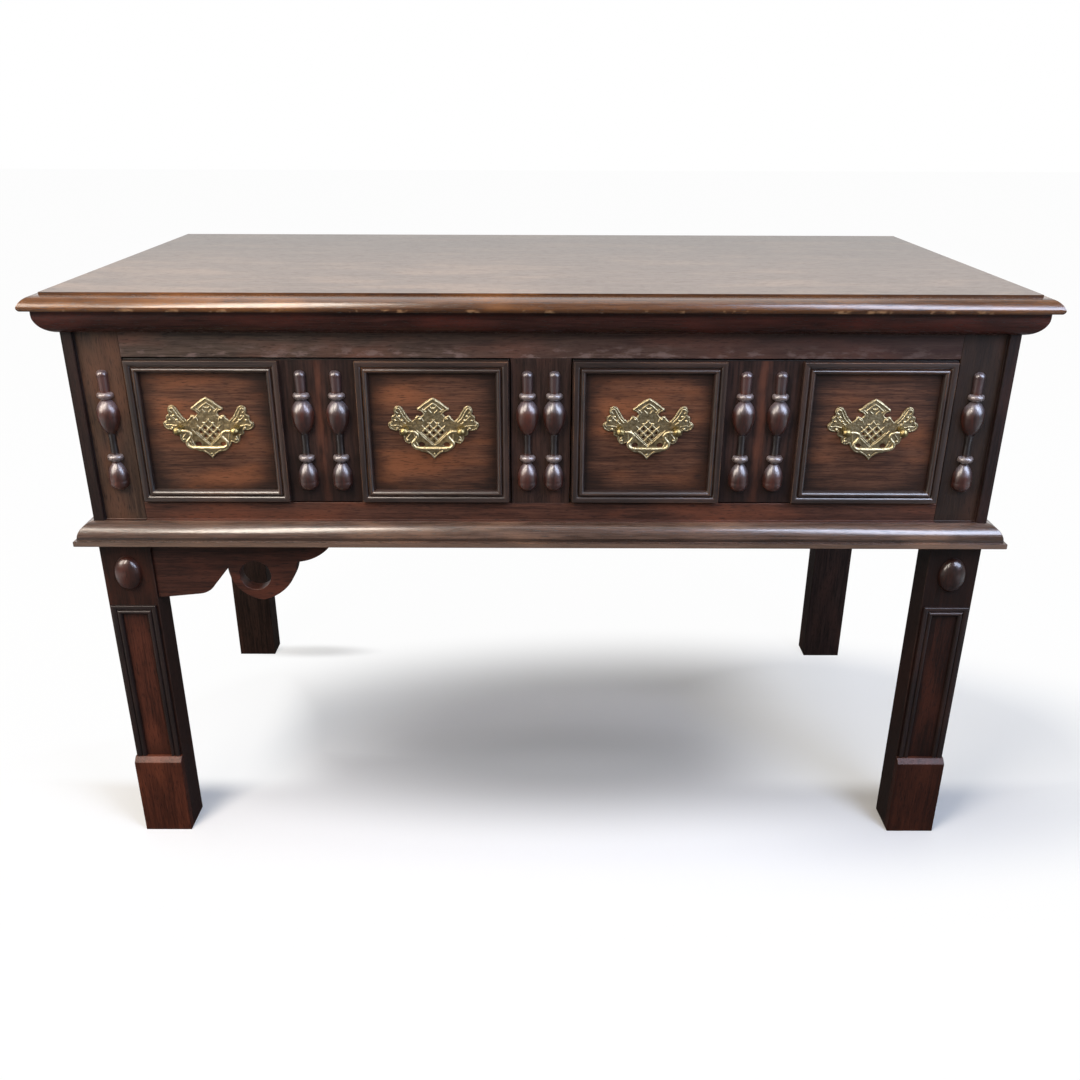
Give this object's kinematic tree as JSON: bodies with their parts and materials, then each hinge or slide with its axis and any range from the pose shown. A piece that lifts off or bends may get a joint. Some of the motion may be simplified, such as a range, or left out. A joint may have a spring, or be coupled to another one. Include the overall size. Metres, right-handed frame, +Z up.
{
  "type": "lowboy",
  "caption": "Dark oak lowboy: moulded top on a framed case with straight legs, wide panelled drawers with split balusters, and swinging brass bail handles",
  "frame": {"origin": "on the floor under the middle of the whole piece's box", "axes": "+X to the right seen from the front, +Y to the back, +Z up; the drawer fronts face -Y"},
  "size_m": [1.244, 0.59, 0.796],
  "materials": {
    "stained_oak": "dark stained and waxed oak, rubbed paler along the edges",
    "inner_oak": "unstained oak of the inside, darkened with age",
    "antique_brass": "cast brass with a dull, pale patina"
  },
  "bodies": {
    "carcass": {"top_board": "stained_oak", "cornice_front": "stained_oak", "cornice_left": "stained_oak", "cornice_right": "stained_oak", "leg_front_left": "stained_oak", "leg_front_right": "stained_oak", "leg_rear_left": "stained_oak", "leg_rear_right": "stained_oak", "front_top_rail": "stained_oak", "front_bottom_rail": "stained_oak", "centre_muntin": "stained_oak", "side_rails_left": "stained_oak", "side_rails_right": "stained_oak", "side_panel_left": "stained_oak", "side_panel_right": "stained_oak", "back_rails": "stained_oak", "back_panel": "inner_oak", "base_moulding_front": "stained_oak", "base_moulding_left": "stained_oak", "base_moulding_right": "stained_oak", "leg_bracket": "stained_oak", "drawer_runners": "inner_oak", "drawer_kickers": "inner_oak", "drawer_stops": "inner_oak", "leg_bosses": "stained_oak", "leg_panel_moulding_left": "stained_oak", "leg_panel_moulding_right": "stained_oak", "foot_block_left": "stained_oak", "foot_block_right": "stained_oak", "end_baluster_left": "stained_oak", "end_baluster_right": "stained_oak", "muntin_balusters": "stained_oak"},
    "drawer_left": {"drawer_left_front": "stained_oak", "drawer_left_frame_left": "stained_oak", "drawer_left_frame_right": "stained_oak", "drawer_left_balusters": "stained_oak", "drawer_left_side_left": "inner_oak", "drawer_left_side_right": "inner_oak", "drawer_left_back": "inner_oak", "drawer_left_bottom": "inner_oak", "drawer_left_plate_left": "antique_brass", "drawer_left_plate_right": "antique_brass", "drawer_left_bolts": "antique_brass", "drawer_left_nuts": "antique_brass"},
    "bail_left_left": {"drawer_left_bail_left": "antique_brass"},
    "bail_left_right": {"drawer_left_bail_right": "antique_brass"},
    "drawer_right": {"drawer_right_front": "stained_oak", "drawer_right_frame_left": "stained_oak", "drawer_right_frame_right": "stained_oak", "drawer_right_balusters": "stained_oak", "drawer_right_side_left": "inner_oak", "drawer_right_side_right": "inner_oak", "drawer_right_back": "inner_oak", "drawer_right_bottom": "inner_oak", "drawer_right_plate_left": "antique_brass", "drawer_right_plate_right": "antique_brass", "drawer_right_bolts": "antique_brass", "drawer_right_nuts": "antique_brass"},
    "bail_right_left": {"drawer_right_bail_left": "antique_brass"},
    "bail_right_right": {"drawer_right_bail_right": "antique_brass"}
  },
  "joints": [
    {"name": "drawer_left_slide", "type": "slide", "parent": "carcass", "child": "drawer_left", "axis": [0, -1, 0], "range_m": [0, 0.36]},
    {"name": "bail_left_left_swing", "type": "hinge", "parent": "drawer_left", "child": "bail_left_left", "pos_m": [-0.42325, -0.2715, 0.6225], "axis": [-1, 0, 0], "range_deg": [0, 100]},
    {"name": "bail_left_right_swing", "type": "hinge", "parent": "drawer_left", "child": "bail_left_right", "pos_m": [-0.13675, -0.2715, 0.6225], "axis": [-1, 0, 0], "range_deg": [0, 100]},
    {"name": "drawer_right_slide", "type": "slide", "parent": "carcass", "child": "drawer_right", "axis": [0, -1, 0], "range_m": [0, 0.36]},
    {"name": "bail_right_left_swing", "type": "hinge", "parent": "drawer_right", "child": "bail_right_left", "pos_m": [0.13675, -0.2715, 0.6225], "axis": [-1, 0, 0], "range_deg": [0, 100]},
    {"name": "bail_right_right_swing", "type": "hinge", "parent": "drawer_right", "child": "bail_right_right", "pos_m": [0.42325, -0.2715, 0.6225], "axis": [-1, 0, 0], "range_deg": [0, 100]}
  ]
}
